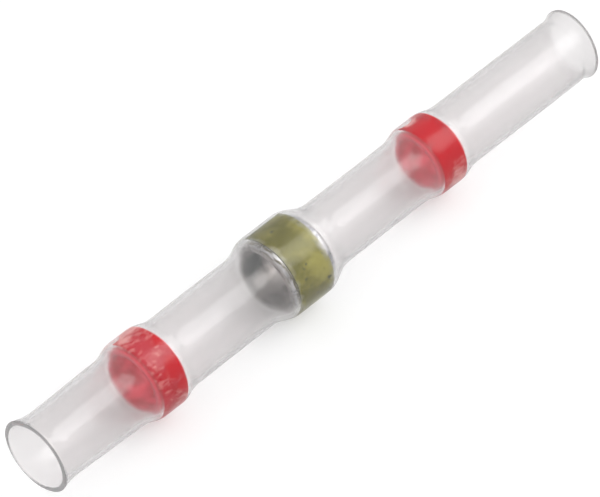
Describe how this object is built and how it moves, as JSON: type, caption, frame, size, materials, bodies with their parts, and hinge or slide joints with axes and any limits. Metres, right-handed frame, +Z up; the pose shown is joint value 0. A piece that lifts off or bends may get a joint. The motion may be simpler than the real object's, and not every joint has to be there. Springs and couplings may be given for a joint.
{
  "type": "solder seal wire connector",
  "caption": "Clear heat-shrink splice sleeve, open and flared at both ends, shrunk over a flux-coated solder ring and red hot-melt sealing rings.",
  "frame": {"origin": "on the sleeve's axis, at the middle of the solder ring's bore", "axes": "+X along the sleeve towards the far cut end, +Z up with the sleeve lying level"},
  "size_m": [0.0401, 0.005, 0.005],
  "materials": {
    "shrink_sleeve": "clear, slightly milky polyolefin shrink tubing",
    "near_sealing_ring": "translucent red hot-melt",
    "far_sealing_ring": "translucent red hot-melt",
    "solder_ring": "bright low-melting solder",
    "flux_coat": "satin yellow-green flux film"
  },
  "bodies": {
    "root": {"shrink_sleeve": "shrink_sleeve", "near_sealing_ring": "near_sealing_ring", "far_sealing_ring": "far_sealing_ring", "solder_ring": "solder_ring", "flux_coat": "flux_coat"}
  },
  "joints": []
}
